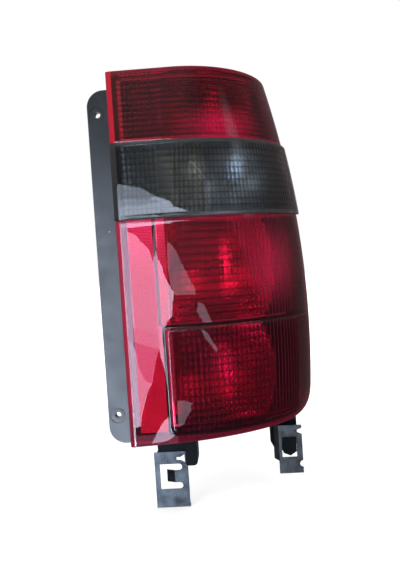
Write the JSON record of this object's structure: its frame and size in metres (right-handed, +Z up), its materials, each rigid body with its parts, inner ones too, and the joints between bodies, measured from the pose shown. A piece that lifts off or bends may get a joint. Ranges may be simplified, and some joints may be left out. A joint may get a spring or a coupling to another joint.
{
  "type": "tail light cluster",
  "caption": "Tall wrap-round tail light cluster with red and smoked lenses, a side screw flange and two sheet metal spring clips below.",
  "frame": {"origin": "midway between the two screw holes, on the front face of the flange", "axes": "+X outboard round the corner of the vehicle, +Y back into the body, +Z up"},
  "size_m": [0.208, 0.11, 0.423],
  "materials": {
    "housing_plastic": "moulded, slightly dusty",
    "dark_red_lens": "glossy tinted acrylic",
    "smoked_lens": "glossy smoked acrylic",
    "red_lens": "glossy red acrylic",
    "reflex_red": "prismatic",
    "silvered": "vacuum metallised",
    "carrier_plastic": "natural moulded",
    "foam": "closed-cell foam",
    "zinc_sheet": "zinc plated",
    "clear_glass": "clear",
    "amber_glass": "amber lacquer",
    "bulb_cap": "nickel plated",
    "filament": "bare",
    "track_brass": "stamped"
  },
  "bodies": {
    "root": {"housing": "housing_plastic", "upper_lens": "dark_red_lens", "middle_lens": "smoked_lens", "lower_lens": "red_lens", "reflex_reflector": "reflex_red", "upper_reflector": "silvered", "middle_reflector": "silvered", "stop_reflector": "silvered", "fog_reflector": "silvered", "lamp_carrier": "carrier_plastic", "carrier_seal": "foam", "flange_seal": "foam", "left_clip": "zinc_sheet", "right_clip": "zinc_sheet", "upper_bulb_glass": "clear_glass", "upper_bulb_cap": "bulb_cap", "upper_bulb_filament": "filament", "turn_bulb_glass": "amber_glass", "turn_bulb_cap": "bulb_cap", "turn_bulb_filament": "filament", "reverse_bulb_glass": "clear_glass", "reverse_bulb_cap": "bulb_cap", "reverse_bulb_filament": "filament", "stop_bulb_glass": "clear_glass", "stop_bulb_cap": "bulb_cap", "stop_bulb_filament": "filament", "fog_bulb_glass": "clear_glass", "fog_bulb_cap": "bulb_cap", "fog_bulb_filament": "filament", "earth_track": "track_brass", "upper_track": "track_brass", "turn_track": "track_brass", "reverse_track": "track_brass", "stop_track": "track_brass", "fog_track": "track_brass"}
  },
  "joints": []
}
